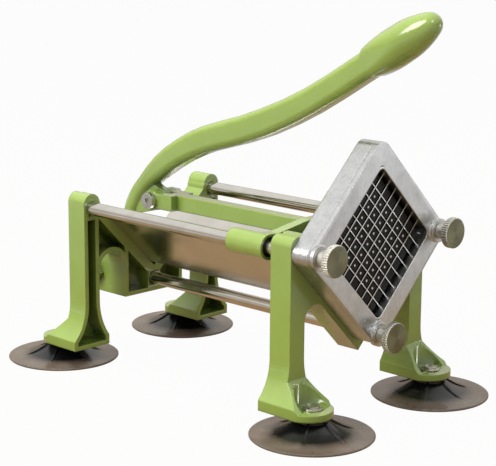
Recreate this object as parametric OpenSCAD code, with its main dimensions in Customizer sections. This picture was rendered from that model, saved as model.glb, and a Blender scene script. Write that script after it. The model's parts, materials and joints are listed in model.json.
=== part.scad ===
// Lever-operated french fry cutter on four suction cups.
// +X points to the blades, +Z up, the centre plane is y = 0, and z = 0 is the table.
// All lengths are in millimetres.

/* [Castings] */
// Front plane of the rear casting, its open side
rear_x = -100; // [-130:1:-85]
// Rear plane of the front casting, its open side
front_x = 102; // [95:1:130]
// Depth of both castings along the machine
cast_d = 19.5; // [16:0.5:24]
// Half of the clear width between the two legs of a casting
leg_in = 59.2; // [56:0.2:64]
// Width of a leg across the machine
leg_w = 14.8; // [13:0.2:18]
// Height of the rear legs
leg_top_z = 140; // [138:0.5:146]
// Thickness of the rims round the castings
rim_t = 3.5; // [2.5:0.1:4.5]
// Thickness of the closed web of the castings
web_t = 3.9; // [3:0.1:5]
// Height of the point of the V seat for the trough
v_z = 71.5; // [68:0.5:73]
// Vertical thickness of the V flange of the rear casting
v_flange_h = 11.5; // [9:0.5:14]
// Half width of the block in the middle of the rear casting
block_half_w = 31.6; // [29:0.2:34]
// Underside of that block
block_z = 50; // [46:1:54]
// Height of the point of the V under the front casting
chin_z = 45; // [42:1:48]

/* [Feet] */
// Distance of the suction cups from the middle, along the machine
cup_x = 137.1; // [130:0.1:146]
// Distance of the suction cups from the centre plane
cup_y = 67.1; // [62:0.1:72]
// Diameter of a suction cup
cup_d = 89.5; // [70:0.5:100]
// Underside of the feet
foot_z = 11.5; // [10:0.5:15]
// Width of a foot
foot_w = 37.4; // [32:0.2:44]

/* [Rods and slide] */
// Diameter of the three rods
rod_d = 10.6; // [9:0.1:12]
// Distance of the upper rods from the centre plane
rod_y = 66.3; // [64:0.1:68]
// Height of the upper rods
rod_z = 128.3; // [126:0.1:129]
// Height of the tie rod in the centre plane
tie_z = 61.2; // [58:0.1:63]
// Outer diameter of the sleeves that slide on the upper rods
sleeve_d = 18.4; // [17:0.1:21]
// Length of a sleeve
sleeve_len = 35; // [28:1:45]
// Rear end of the sleeves with the pusher fully forward
sleeve_x = 58.6; // [50:0.2:64]

/* [Frame and blades] */
// Height of the centre of the square opening
frame_z = 127.7; // [126:0.1:129]
// Side of the square frame
frame_side = 109.8; // [106:0.2:114]
// Total thickness of the frame
frame_d = 18.5; // [16:0.5:22]
// Thickness of the front plate of the frame
face_t = 4; // [3:0.2:5]
// Distance from blade to blade
pitch = 9.525; // [9.3:0.005:9.6]
// Number of blades in each direction
blade_count = 7; // [5:1:7]
// Thickness of a blade
blade_t = 0.7; // [0.4:0.1:1]
// Width of a blade strip along the machine
blade_w = 10; // [8:0.5:12]
// Diameter of a thumb nut
thumb_d = 23; // [20:0.5:25]

/* [Pusher] */
// Side of a peg of the pusher
peg_side = 7.4; // [6.5:0.1:8]
// Length of the pegs
peg_len = 14; // [12.5:0.5:18]
// Thickness of the pusher block behind the pegs
block_t = 10; // [8:0.5:12]

/* [Lever and link] */
// Place of the lever pivot along the machine
pivot_x = -136; // [-138:0.5:-134]
// Height of the lever pivot
pivot_z = 66; // [64:0.5:68]
// Place of the link pin along the machine, with the pusher forward
pin_x = -90; // [-92:0.5:-88]
// Height of the link pin
pin_z = 129.2; // [128:0.2:130]
// Width of the lever across the machine
lever_w = 20; // [18:0.5:21]
// Depth of the lever in its own plane
lever_t = 18.5; // [17:0.5:20]
// Distance between the two pins of the link
link_len = 170; // [168:0.5:172]
// Height of the link bar
link_h = 12.4; // [11:0.2:14]
// Width of the link bar
link_w = 15; // [13:0.5:17]
// Lever angle between the pusher forward and back
lever_range = 74; // [60:1:76]

/* [Trough] */
// Thickness of the sheet
sheet_t = 1.2; // [0.8:0.1:2]
// Outer bend radius at the bottom
bend_r = 7; // [5:0.5:9]
// Distance of the top edges from the centre plane
trough_half_w = 50; // [44:0.5:52]

/* [Hidden] */
$fn = 96;

// Fits and clearances
run_fit = 0.05;
seat_fit = 0.1;
part_gap = 0.3;
over = 1;

// Castings
leg_out = leg_in + leg_w;
leg_mid = leg_in + leg_w / 2;
corner_r = 8;
boss_wall = 4.2;
boss_r = rod_d / 2 + boss_wall;
tie_boss_half_w = 6.8;
arch_r = (leg_in - block_half_w) / 2;
arch_y = (leg_in + block_half_w) / 2;
arch_rise = 5;
arch_z = v_z + arch_rise;
front_arch_r = 11;
front_dome_z = leg_top_z - leg_w / 2;
ring_half = 52;
rear_back_x = rear_x - cast_d;
front_face_x = front_x + cast_d;
blind_t = web_t;

// Feet: run and rise of the concave flares
flare_out_run = 13;
flare_out_rise = 36;
flare_in_run = 9.6;
flare_in_rise = 30;
toe_flare_r = 30;
lip_h = 10.5;
lip_z = foot_z + lip_h;
foot_mid_y = leg_in - flare_in_run + foot_w / 2;
toe_back = 3;
foot_floor_t = 3.5;
well_r = 10.5;

// Rods and slide
stud_d = 8;
bush_d = 14.4;
bush_flange_d = 16.6;
bush_flange_t = 1.6;
wing_t = 9;
wing_top_mid_z = 142;
wing_top_side_z = 137;
wing_mid_y = 24;
wing_side_y = 57;
wing_low_z = 124.5;
yoke_fit = 2;
sleeve_end_x = sleeve_x + sleeve_len;
yoke_x = sleeve_end_x - wing_t;

// Frame and blades
frame_r = 9;
opening_margin = 2.8;
opening_half = pitch * (blade_count + 1) / 2 + opening_margin;
opening_r = 3;
frame_x = front_face_x;
face_x = frame_x + frame_d;
seam_x = face_x - face_t;
blade_x = seam_x - blade_w - part_gap / 3;
blade_seat = 4;
blade_len = 2 * (opening_half + blade_seat);
slot_extra = 0.05;
nut_boss_d = 18;
nut_boss_t = 2.5;
neck_d = 15;
neck_len = 7;
thumb_len = 7.5;
knurl_count = 28;
knurl_r = 0.9;
thumb_x = face_x + nut_boss_t + part_gap / 3;

// Pusher
peg_count = blade_count + 1;
peg_tip_gap = 2.5;
peg_tip_x = seam_x - peg_tip_gap;
peg_x = peg_tip_x - peg_len;
pusher_gap = 0.7;
pusher_half = pitch * peg_count / 2 - pusher_gap;
pusher_r = 6;
plate_t = 4;
plate_x = peg_x - block_t - plate_t;
pin_d = 4;
pin_len = 4;
screw_d = 5;
screw_head_d = 9;
screw_head_t = 3;
screw_y = 22;
screw_dz = 8.5;
screw_bite = 6;
back_boss_half = 26;
back_boss_r = 6;

// Lever path: a straight foot, two bends forward, one bend back and a straight end
lever_foot_angle = 78.2;
lever_bend_1_r = 58;
lever_bend_1_angle = 38;
lever_bend_2_r = 267;
lever_bend_2_angle = 25;
lever_bend_3_r = 375;
lever_bend_3_angle = 15;
lever_foot_len = 42.3;
lever_end_len = 47;
lever_corner_r = 6;
eye_r = 15;
pivot_d = 12;
pivot_bush_d = 16;
ear_r = 9;
ear_w = 8;
ear_rise_share = 0.8;
ear_heel_share = 1.6;
ear_toe_share = 1.5;
lever_pin_d = 9;
grip_len = 66;
grip_neck_r = 10.2;
grip_max_r = 15.4;
grip_mid = 36;
grip_end_r = 13;
grip_angle = 26.5;

// Cheeks of the rear casting that carry the lever
cheek_t = 9.6;
cheek_r = pivot_z - block_z;
cheek_top_z = 90;
cheek_boss_r = 13;
pivot_head_t = 7;
pivot_head_d = 18;

// Link
fork_w = 24;
fork_r = 8;
fork_depth = 14;
fork_len = 26;
fork_taper = 16;
bolt_head_d = 13;
bolt_head_t = 5;
hex_key_d = 5;
front_pin_d = 7;
front_pin_x = pin_x + link_len;
crank_r = sqrt(pow(pin_x - pivot_x, 2) + pow(pin_z - pivot_z, 2));
crank_angle = atan2(pin_z - pivot_z, pin_x - pivot_x);
slot_play = 1.8;
slot_half_w = front_pin_d / 2 + slot_play;
slot_spare = 0.4;
slot_wall = 3;
slot_up = pin_z - pivot_z - crank_r * sin(crank_angle + lever_range) + slot_spare;
slot_down = crank_r - (pin_z - pivot_z) + slot_spare;
clevis_t = 6;
clevis_gap = link_w / 2 + part_gap;
clevis_r = 9.5;
pin_head_d = 9;
pin_head_t = 3;

// Suction cups
cup_rim_w = 5;
cup_rim_t = 1.6;
cup_neck_r = 14;
cup_cone_r = 24;
cup_cone_z = 5;
cup_dome_z = 4.2;
cup_rib_count = 6;
cup_rib_t = 1.6;
cup_stud_d = 8;
hex_d = 15;
hex_t = 5.3;
washer_d = 17.5;
washer_t = 1.2;

// Trough
trough_x = rear_back_x + part_gap;
trough_end_x = front_x - part_gap;

// Colours
green = [0.62, 0.71, 0.39];
steel = [0.78, 0.78, 0.76];
alloy = [0.80, 0.80, 0.78];
black = [0.08, 0.08, 0.08];

// Placing helpers: an outline drawn in (y, z) or in (x, z) becomes a solid

module along_x(x0, len) {
    translate([x0, 0, 0]) rotate([90, 0, 90]) linear_extrude(height = len) children();
}

module along_y(y0, len) {
    translate([0, y0 + len, 0]) rotate([90, 0, 0]) linear_extrude(height = len) children();
}

module both_sides() {
    children();
    mirror([0, 1, 0]) children();
}

module both_sides_2d() {
    children();
    mirror([1, 0]) children();
}

module pin_x_dir(x0, len, d) {
    translate([x0, 0, 0]) rotate([0, 90, 0]) cylinder(d = d, h = len);
}

module pin_y_dir(y0, len, d) {
    translate([0, y0, 0]) rotate([-90, 0, 0]) cylinder(d = d, h = len);
}

module round_square_2d(half, r) {
    union() {
        square([2 * half, 2 * (half - r)], center = true);
        square([2 * (half - r), 2 * half], center = true);
        for (u = [-1, 1], v = [-1, 1]) translate([u * (half - r), v * (half - r)]) circle(r = r);
    }
}

module diamond_2d(half, r) {
    translate([0, frame_z]) rotate(45) round_square_2d(half, r);
}

// Radius of a concave flare that leaves a face square and runs out by run over rise
function flare_r(run, rise) = (run * run + rise * rise) / (2 * run);

// Height of the V seat at distance y from the centre plane
function v_at(y) = v_z + y;

// One foot, in a frame where x is the distance outwards from the open side of the
// casting and y grows away from the centre plane; inset shrinks it for the hollow

module foot_front_2d(inset) {
    out_r = flare_r(flare_out_run, flare_out_rise);
    in_r = flare_r(flare_in_run, flare_in_rise);
    difference() {
        translate([leg_in - flare_in_run + inset, foot_z + inset])
            square([foot_w - 2 * inset, lip_z + flare_out_rise - foot_z - inset]);
        translate([leg_out + out_r, lip_z + flare_out_rise]) circle(r = out_r + inset);
        translate([leg_in - in_r, lip_z + flare_in_rise]) circle(r = in_r + inset);
        translate([leg_in - foot_w + inset, lip_z + flare_in_rise])
            square([foot_w, flare_out_rise]);
    }
}

module foot_side_2d(reach) {
    toe_z = lip_z - over / 2;
    difference() {
        translate([0, foot_z]) square([reach, lip_z + flare_out_rise - foot_z]);
        translate([cast_d + toe_flare_r, toe_z + toe_flare_r]) circle(r = toe_flare_r);
        translate([cast_d + toe_flare_r, toe_z]) square([reach, flare_out_rise * 2]);
        translate([cast_d, toe_z + toe_flare_r]) square([reach, flare_out_rise * 2]);
    }
}

module foot_plan_2d(reach) {
    end_x = reach - foot_w / 2;
    union() {
        translate([0, foot_mid_y - foot_w / 2]) square([end_x, foot_w]);
        translate([end_x, foot_mid_y]) circle(d = foot_w);
    }
}

module foot(well_x) {
    reach = well_x + foot_w / 2 - toe_back;
    difference() {
        intersection() {
            along_x(0, reach) foot_front_2d(0);
            along_y(0, leg_out + foot_w) foot_side_2d(reach);
            linear_extrude(height = leg_top_z) foot_plan_2d(reach);
        }
        translate([well_x, cup_y, foot_z + foot_floor_t])
            cylinder(r = well_r, h = leg_top_z);
        translate([well_x, cup_y, foot_z - over])
            cylinder(d = cup_stud_d + 2 * seat_fit, h = foot_floor_t + 2 * over);
    }
}

module leg_channel(top_z) {
    union() {
        along_x(-over, cast_d - web_t + over) foot_front_2d(rim_t);
        translate([-over, leg_in + rim_t, foot_z + rim_t])
            cube([cast_d - web_t + over, leg_w - 2 * rim_t, top_z - foot_z - rim_t]);
    }
}

module rear_side() {
    translate([rear_x, 0, 0]) mirror([1, 0, 0]) children();
}

module front_side() {
    translate([front_x, 0, 0]) children();
}

// Rear casting

module rear_outline_2d() {
    difference() {
        union() {
            both_sides_2d() polygon([[0, block_z], [leg_out, block_z],
                [leg_out, leg_top_z - corner_r], [leg_out - corner_r, leg_top_z],
                [leg_top_z - v_z, leg_top_z], [0, v_z]]);
            both_sides_2d() translate([leg_out - corner_r, leg_top_z - corner_r])
                circle(r = corner_r);
            both_sides_2d() translate([leg_in, foot_z + foot_floor_t])
                square([leg_w, block_z - foot_z]);
            both_sides_2d() translate([rod_y, rod_z]) circle(r = boss_r);
        }
        both_sides_2d() arch_window_2d();
    }
}

module arch_window_2d() {
    union() {
        translate([block_half_w, block_z - over]) square([2 * arch_r, arch_z - block_z + over]);
        translate([arch_y, arch_z]) circle(r = arch_r);
    }
}

module rear_web_pocket_2d() {
    low_v = v_z - v_flange_h;
    difference() {
        polygon([[block_half_w, arch_z], [leg_in, arch_z], [leg_in, low_v + leg_in],
            [block_half_w, low_v + block_half_w]]);
        translate([arch_y, arch_z]) circle(r = arch_r + rim_t);
    }
}

module rear_block_pocket_2d() {
    low_v = v_z - v_flange_h;
    in_w = block_half_w - rim_t;
    polygon([[tie_boss_half_w, block_z + rim_t], [in_w, block_z + rim_t],
        [in_w, low_v + in_w], [tie_boss_half_w, low_v + tie_boss_half_w]]);
}

module cheek_2d() {
    union() {
        translate([pivot_x, pivot_z]) circle(r = cheek_r);
        polygon([[pivot_x, block_z], [rear_back_x + over, block_z],
            [rear_back_x + over, cheek_top_z], [pivot_x, pivot_z + cheek_r]]);
    }
}

module rear_casting() {
    pocket_d = cast_d - web_t;
    color(green) difference() {
        union() {
            difference() {
                along_x(rear_back_x, cast_d) rear_outline_2d();
                both_sides() along_x(rear_x - pocket_d, pocket_d + over) rear_web_pocket_2d();
                both_sides() along_x(rear_x - pocket_d, pocket_d + over) rear_block_pocket_2d();
                both_sides() rear_side() leg_channel(rod_z - boss_r);
                rear_top_round();
            }
            both_sides() rear_side() difference() {
                foot(cup_x + rear_x);
                leg_channel(rod_z - boss_r);
            }
            both_sides() along_y(block_half_w - cheek_t, cheek_t) cheek_2d();
            both_sides() translate([pivot_x, lever_w / 2 + part_gap, pivot_z])
                rotate([-90, 0, 0])
                    cylinder(r = cheek_boss_r, h = block_half_w - lever_w / 2 - cheek_t / 2);
        }
        both_sides() translate([rear_back_x + blind_t, rod_y, rod_z])
            pin_x_dir(0, cast_d, rod_d + 2 * seat_fit);
        translate([rear_back_x + blind_t, 0, tie_z])
            pin_x_dir(0, cast_d, rod_d + 2 * part_gap);
        translate([pivot_x, 0, pivot_z])
            pin_y_dir(-leg_out, 2 * leg_out, pivot_d + 2 * seat_fit);
    }
}

module rear_top_round() {
    along_y(-leg_out - over, 2 * (leg_out + over)) difference() {
        translate([rear_back_x - over, leg_top_z - corner_r])
            square([corner_r + over, corner_r + over]);
        translate([rear_back_x + corner_r, leg_top_z - corner_r]) circle(r = corner_r);
    }
}

// Front casting

module front_outline_2d() {
    fillet_y = leg_in - front_arch_r;
    fillet_z = chin_z + fillet_y - front_arch_r * sqrt(2);
    lap_y = leg_in + rim_t;
    difference() {
        union() {
            both_sides_2d() polygon([[0, chin_z], [lap_y, chin_z + lap_y],
                [lap_y, rod_z], [0, rod_z]]);
            both_sides_2d() translate([leg_in, foot_z + foot_floor_t])
                square([leg_w, front_dome_z - foot_z - foot_floor_t]);
            both_sides_2d() translate([leg_mid, front_dome_z]) circle(d = leg_w);
            both_sides_2d() difference() {
                polygon([[fillet_y - front_arch_r / 2, chin_z + fillet_y - front_arch_r / 2],
                    [lap_y, fillet_z], [lap_y, chin_z + lap_y]]);
                translate([fillet_y, fillet_z]) circle(r = front_arch_r);
            }
            diamond_2d(ring_half, frame_r);
            both_sides_2d() translate([rod_y, rod_z]) circle(r = boss_r);
        }
        diamond_2d((frame_z - v_z) / sqrt(2), opening_r);
    }
}

module front_web_pocket_2d() {
    ring_out = ring_half - rim_t;
    ring_in = (frame_z - v_z) / sqrt(2) + rim_t;
    difference() {
        diamond_2d(ring_out, frame_r - rim_t);
        diamond_2d(ring_in, opening_r);
        both_sides_2d() translate([rod_y, rod_z]) circle(r = boss_r + rim_t);
        translate([0, tie_z]) circle(r = boss_r);
        both_sides_2d() translate([leg_in - rim_t, 0]) square([leg_w + 2 * rim_t, leg_top_z]);
    }
}

module front_casting() {
    pocket_d = cast_d - web_t;
    color(green) difference() {
        union() {
            difference() {
                along_x(front_x, cast_d) front_outline_2d();
                along_x(front_x - over, pocket_d + over) front_web_pocket_2d();
                both_sides() front_side() leg_channel(rod_z - boss_r);
            }
            both_sides() front_side() difference() {
                foot(cup_x - front_x);
                leg_channel(rod_z - boss_r);
            }
        }
        both_sides() translate([front_x - over, rod_y, rod_z])
            pin_x_dir(0, cast_d + 2 * over, rod_d + 2 * seat_fit);
        translate([front_x - over, 0, tie_z])
            pin_x_dir(0, cast_d + 2 * over, rod_d + 2 * seat_fit);
    }
}

// Rods: a shoulder at the front casting, then a stud for the thumb nut

module rod(y, z) {
    x0 = rear_back_x + blind_t;
    color(steel) translate([0, y, z]) union() {
        pin_x_dir(x0, front_face_x - x0, rod_d);
        pin_x_dir(front_face_x, face_x + nut_boss_t + neck_len - front_face_x + over, stud_d);
    }
}

module rod_near() rod(-rod_y, rod_z);
module rod_far() rod(rod_y, rod_z);
module tie_rod() rod(0, tie_z);

// Trough: one sheet, bent round at the bottom

module trough_2d() {
    half = (frame_z - v_z) / sqrt(2);
    intersection() {
        difference() {
            diamond_2d(half, bend_r);
            diamond_2d(half - sheet_t, bend_r - sheet_t);
        }
        translate([-trough_half_w, v_z - over])
            square([2 * trough_half_w, frame_z - v_z + over]);
    }
}

module trough() {
    color(steel) along_x(trough_x, trough_end_x - trough_x) trough_2d();
}

// Frame: a thick layer with the blade slots and a thin plate over it

module frame_holes(x0, len) {
    both_sides() translate([x0, rod_y, rod_z]) pin_x_dir(0, len, stud_d + 2 * seat_fit);
    translate([x0, 0, tie_z]) pin_x_dir(0, len, stud_d + 2 * seat_fit);
}

module blade_strips(angle, width, thick, len) {
    translate([blade_x, 0, frame_z]) rotate([angle, 0, 0])
        for (i = [0 : blade_count - 1])
            translate([0, -len / 2, (i - (blade_count - 1) / 2) * pitch - thick / 2])
                cube([width, len, thick]);
}

module blade_frame() {
    slot_t = blade_t + 2 * slot_extra;
    color(alloy) difference() {
        along_x(frame_x, seam_x - frame_x) difference() {
            diamond_2d(frame_side / 2, frame_r);
            diamond_2d(opening_half, opening_r);
        }
        frame_holes(frame_x - over, frame_d + 2 * over);
        blade_strips(45, blade_w + over, slot_t, blade_len + 2 * slot_extra);
        blade_strips(-45, blade_w + over, slot_t, blade_len + 2 * slot_extra);
    }
}

module face_frame() {
    color(alloy) difference() {
        union() {
            along_x(seam_x, face_t) difference() {
                diamond_2d(frame_side / 2, frame_r);
                diamond_2d(opening_half, opening_r);
            }
            both_sides() translate([face_x - over, rod_y, rod_z])
                pin_x_dir(0, nut_boss_t + over, nut_boss_d);
            translate([face_x - over, 0, tie_z]) pin_x_dir(0, nut_boss_t + over, nut_boss_d);
        }
        frame_holes(seam_x - over, frame_d);
    }
}

module blades(angle, notch_x) {
    slot_t = blade_t + 2 * slot_extra;
    color(steel) difference() {
        blade_strips(angle, blade_w, blade_t, blade_len);
        translate([notch_x, 0, 0])
            blade_strips(-angle, blade_w / 2 + slot_extra, slot_t, 2 * opening_half);
    }
}

module blades_rising() blades(45, -slot_extra);
module blades_falling() blades(-45, blade_w / 2);

// Thumb nuts

module thumb_nut(y, z) {
    bore_len = neck_len + 2 * over;
    color(green) translate([thumb_x, y, z]) difference() {
        union() {
            pin_x_dir(0, neck_len, neck_d);
            pin_x_dir(neck_len, thumb_len, thumb_d);
        }
        for (i = [0 : knurl_count - 1]) rotate([i * 360 / knurl_count, 0, 0])
            translate([neck_len - over, 0, thumb_d / 2 + knurl_r / 3])
                pin_x_dir(0, thumb_len + 2 * over, 2 * knurl_r);
        pin_x_dir(-over, bore_len + over, stud_d + 2 * run_fit);
    }
}

module thumb_nut_near() thumb_nut(-rod_y, rod_z);
module thumb_nut_far() thumb_nut(rod_y, rod_z);
module thumb_nut_low() thumb_nut(0, tie_z);

// Carriage: a yoke with two wings, two sleeves and a clevis for the link

module yoke_2d() {
    low_v = v_z + sheet_t * sqrt(2) + yoke_fit;
    low_y = wing_low_z - low_v;
    window_z = pin_z - slot_down - slot_half_w - slot_wall - yoke_fit;
    difference() {
        both_sides_2d() polygon([[0, low_v + bend_r / 2], [bend_r / 2, low_v + bend_r / 2],
            [low_y, wing_low_z], [wing_side_y, wing_low_z], [rod_y, rod_z - sleeve_d / 4],
            [rod_y, rod_z + sleeve_d / 2], [wing_side_y, wing_top_side_z],
            [wing_mid_y, wing_top_mid_z], [0, wing_top_mid_z]]);
        translate([-clevis_gap, window_z])
            square([2 * clevis_gap, wing_top_mid_z - window_z + over]);
    }
}

module clevis_2d() {
    difference() {
        union() {
            translate([front_pin_x, pin_z]) circle(r = clevis_r);
            translate([front_pin_x, pin_z - clevis_r])
                square([yoke_x + over - front_pin_x, 2 * clevis_r]);
        }
        translate([front_pin_x, pin_z]) circle(d = front_pin_d + 2 * seat_fit);
    }
}

module pusher_screw_holes(x0, len, d) {
    for (u = [-1, 1], v = [-1, 1])
        translate([x0, u * screw_y, frame_z + v * screw_dz]) pin_x_dir(0, len, d);
}

module carriage() {
    color(green) difference() {
        union() {
            along_x(yoke_x, wing_t) yoke_2d();
            both_sides() translate([sleeve_x, rod_y, rod_z]) pin_x_dir(0, sleeve_len, sleeve_d);
            both_sides() along_y(clevis_gap, clevis_t) clevis_2d();
            along_x(sleeve_end_x - over, plate_x - sleeve_end_x + over)
                diamond_2d(back_boss_half, back_boss_r);
        }
        both_sides() translate([sleeve_x - over, rod_y, rod_z])
            pin_x_dir(0, sleeve_len + 2 * over, bush_d + 2 * seat_fit);
        both_sides() translate([sleeve_x - over, rod_y, rod_z])
            pin_x_dir(0, bush_flange_t + over, bush_flange_d + 2 * seat_fit);
        pusher_screw_holes(yoke_x - over, plate_x - yoke_x + 2 * over, screw_d + 2 * seat_fit);
    }
}

module bush(y) {
    color(black) translate([sleeve_x, y, rod_z]) difference() {
        union() {
            pin_x_dir(0, sleeve_len, bush_d);
            pin_x_dir(0, bush_flange_t, bush_flange_d);
        }
        pin_x_dir(-over, sleeve_len + 2 * over, rod_d + 2 * run_fit);
    }
}

module bush_near() bush(-rod_y);
module bush_far() bush(rod_y);

// Pusher: a block with a peg for each cell between the blades

module at_pegs(skip) {
    for (i = [skip : peg_count - 1 - skip], j = [skip : peg_count - 1 - skip])
        translate([0, (i - (peg_count - 1) / 2) * pitch, (j - (peg_count - 1) / 2) * pitch])
            children();
}

module pusher_block() {
    color(black) difference() {
        union() {
            along_x(plate_x + plate_t, block_t) diamond_2d(pusher_half, pusher_r);
            intersection() {
                along_x(peg_x - over, peg_len + over) diamond_2d(pusher_half, pusher_r);
                translate([peg_x - over, 0, frame_z]) rotate([45, 0, 0]) at_pegs(0)
                    translate([0, -peg_side / 2, -peg_side / 2])
                        cube([peg_len + over, peg_side, peg_side]);
            }
        }
        translate([peg_tip_x - pin_len, 0, frame_z]) rotate([45, 0, 0]) at_pegs(1)
            pin_x_dir(0, pin_len + over, pin_d + 2 * seat_fit);
        pusher_screw_holes(plate_x + plate_t - over, screw_bite + over + seat_fit,
            screw_d + 2 * seat_fit);
    }
}

module pusher_pins() {
    color("white") translate([peg_tip_x - pin_len, 0, frame_z]) rotate([45, 0, 0]) at_pegs(1)
        pin_x_dir(0, pin_len, pin_d);
}

module pusher_plate() {
    color(alloy) difference() {
        along_x(plate_x, plate_t) diamond_2d(pusher_half, pusher_r);
        pusher_screw_holes(plate_x - over, plate_t + 2 * over, screw_d + 2 * seat_fit);
    }
}

module pusher_screws() {
    color(steel) union() {
        pusher_screw_holes(yoke_x - screw_head_t, screw_head_t, screw_head_d);
        pusher_screw_holes(yoke_x, plate_x + plate_t + screw_bite - yoke_x, screw_d);
    }
}

// Link between the lever and the carriage

module link_side_2d() {
    eye_r = slot_half_w + slot_wall;
    union() {
        translate([pin_x, pin_z]) circle(r = fork_r);
        translate([front_pin_x, pin_z + slot_up]) circle(r = eye_r);
        translate([front_pin_x, pin_z - slot_down]) circle(r = eye_r);
        translate([front_pin_x - eye_r, pin_z - slot_down]) square([2 * eye_r, slot_down + slot_up]);
        translate([pin_x, pin_z - link_h / 2]) square([link_len, link_h]);
    }
}

module link_slot_2d() {
    union() {
        translate([front_pin_x - slot_half_w, pin_z - slot_down])
            square([2 * slot_half_w, slot_down + slot_up]);
        translate([front_pin_x, pin_z - slot_down]) circle(r = slot_half_w);
        translate([front_pin_x, pin_z + slot_up]) circle(r = slot_half_w);
    }
}

module link_plan_2d() {
    half = link_w / 2;
    fork_half = fork_w / 2;
    back_x = pin_x - fork_r - over;
    wide_x = pin_x + fork_len;
    tip_x = front_pin_x + slot_half_w + slot_wall + over;
    polygon([[back_x, -fork_half], [wide_x, -fork_half], [wide_x + fork_taper, -half],
        [tip_x, -half], [tip_x, half], [wide_x + fork_taper, half],
        [wide_x, fork_half], [back_x, fork_half]]);
}

module link() {
    slot_half = ear_w / 2 + part_gap;
    color(green) difference() {
        intersection() {
            along_y(-fork_w, 2 * fork_w) link_side_2d();
            translate([0, 0, pin_z - 2 * fork_w]) linear_extrude(height = 3 * fork_w) link_plan_2d();
        }
        translate([pin_x - fork_r - over, -slot_half, pin_z - fork_w])
            cube([fork_r + over + fork_depth, 2 * slot_half, 2 * fork_w]);
        translate([pin_x, 0, pin_z]) pin_y_dir(-fork_w, 2 * fork_w, lever_pin_d + 2 * seat_fit);
        along_y(-fork_w, 2 * fork_w) link_slot_2d();
    }
}

module link_bolt() {
    half = fork_w / 2;
    color(steel) translate([pin_x, 0, pin_z]) difference() {
        union() {
            pin_y_dir(-half, 2 * half + bolt_head_t, lever_pin_d);
            pin_y_dir(-half - bolt_head_t, bolt_head_t, bolt_head_d);
        }
        translate([0, -half - bolt_head_t - over, 0]) rotate([-90, 0, 0])
            cylinder(d = hex_key_d, h = bolt_head_t / 2 + over, $fn = 6);
    }
}

module link_nut() {
    color(steel) translate([pin_x, fork_w / 2, pin_z]) rotate([-90, 0, 0]) difference() {
        cylinder(d = hex_d, h = bolt_head_t, $fn = 6);
        translate([0, 0, -over])
            cylinder(d = lever_pin_d + 2 * seat_fit, h = bolt_head_t + 2 * over);
    }
}

module link_front_pin() {
    half = clevis_gap + clevis_t + part_gap;
    color(steel) translate([front_pin_x, 0, pin_z]) union() {
        pin_y_dir(-half, 2 * half, front_pin_d);
        pin_y_dir(-half - pin_head_t, pin_head_t, pin_head_d);
        pin_y_dir(half, pin_head_t, pin_head_d);
    }
}

// Lever: one bent bar, a rounded square section swept along straights and arcs

function turn(a) = [cos(a), sin(a)];
function left_of(a) = [-sin(a), cos(a)];

angle_1 = lever_foot_angle;
angle_2 = angle_1 - lever_bend_1_angle;
angle_3 = angle_2 - lever_bend_2_angle;
angle_4 = angle_3 + lever_bend_3_angle;

// An arc from p that turns from angle a to angle b: r is negative for a turn to the right
function arc(p, a, b, r, steps) =
    [for (k = [1 : steps]) let(c = a + (b - a) * k / steps) [p + r * (left_of(a) - left_of(c)), c]];

lever_start = [[pivot_x, pivot_z], angle_1];
lever_foot = [lever_start[0] + lever_foot_len * turn(angle_1), angle_1];
lever_arc_1 = arc(lever_foot[0], angle_1, angle_2, -lever_bend_1_r, 8);
lever_arc_2 = arc(lever_arc_1[7][0], angle_2, angle_3, -lever_bend_2_r, 6);
lever_arc_3 = arc(lever_arc_2[5][0], angle_3, angle_4, lever_bend_3_r, 5);
lever_end = [lever_arc_3[4][0] + lever_end_len * turn(angle_4), grip_angle];
lever_path = concat([lever_start, lever_foot], lever_arc_1, lever_arc_2, lever_arc_3, [lever_end]);

// Corners of the bar's section, each an arc of lever_corner_r
bar_steps = 6;
bar_section = [for (q = [0 : 3], k = [0 : bar_steps])
    let(a = q * 90 + k * 90 / bar_steps, u = lever_t / 2 - lever_corner_r,
        v = lever_w / 2 - lever_corner_r)
    [(q == 0 || q == 3 ? u : -u) + lever_corner_r * cos(a),
     (q < 2 ? v : -v) + lever_corner_r * sin(a)]];

module lever_bar() {
    m = len(bar_section);
    n = len(lever_path);
    points = [for (s = lever_path, c = bar_section) let(w = s[0] + c[0] * left_of(s[1]))
        [w[0], c[1], w[1]]];
    sides = [for (i = [0 : n - 2], j = [0 : m - 1]) let(k = (j + 1) % m)
        each [[i * m + j, i * m + k, (i + 1) * m + k], [i * m + j, (i + 1) * m + k, (i + 1) * m + j]]];
    start_cap = [for (j = [m - 1 : -1 : 0]) j];
    end_cap = [for (j = [0 : m - 1]) (n - 1) * m + j];
    polyhedron(points, concat(sides, [start_cap, end_cap]));
}

module ear_2d() {
    rise = lever_t * ear_rise_share;
    union() {
        translate([pin_x, pin_z]) circle(r = ear_r);
        polygon([[pin_x, pin_z + ear_r], [pin_x - lever_t, pin_z + rise],
            [pin_x - lever_t * ear_heel_share, pin_z - ear_r / 2],
            [pin_x - lever_t * ear_toe_share, pin_z - rise], [pin_x, pin_z - ear_r]]);
    }
}

module lever() {
    color(green) difference() {
        union() {
            lever_bar();
            translate([pivot_x, -lever_w / 2, pivot_z]) rotate([-90, 0, 0])
                cylinder(r = eye_r, h = lever_w);
            along_y(-ear_w / 2, ear_w) ear_2d();
        }
        translate([pivot_x, 0, pivot_z])
            pin_y_dir(-lever_w, 2 * lever_w, pivot_bush_d + 2 * seat_fit);
        translate([pin_x, 0, pin_z]) pin_y_dir(-lever_w, 2 * lever_w, lever_pin_d + 2 * run_fit);
    }
}

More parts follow.
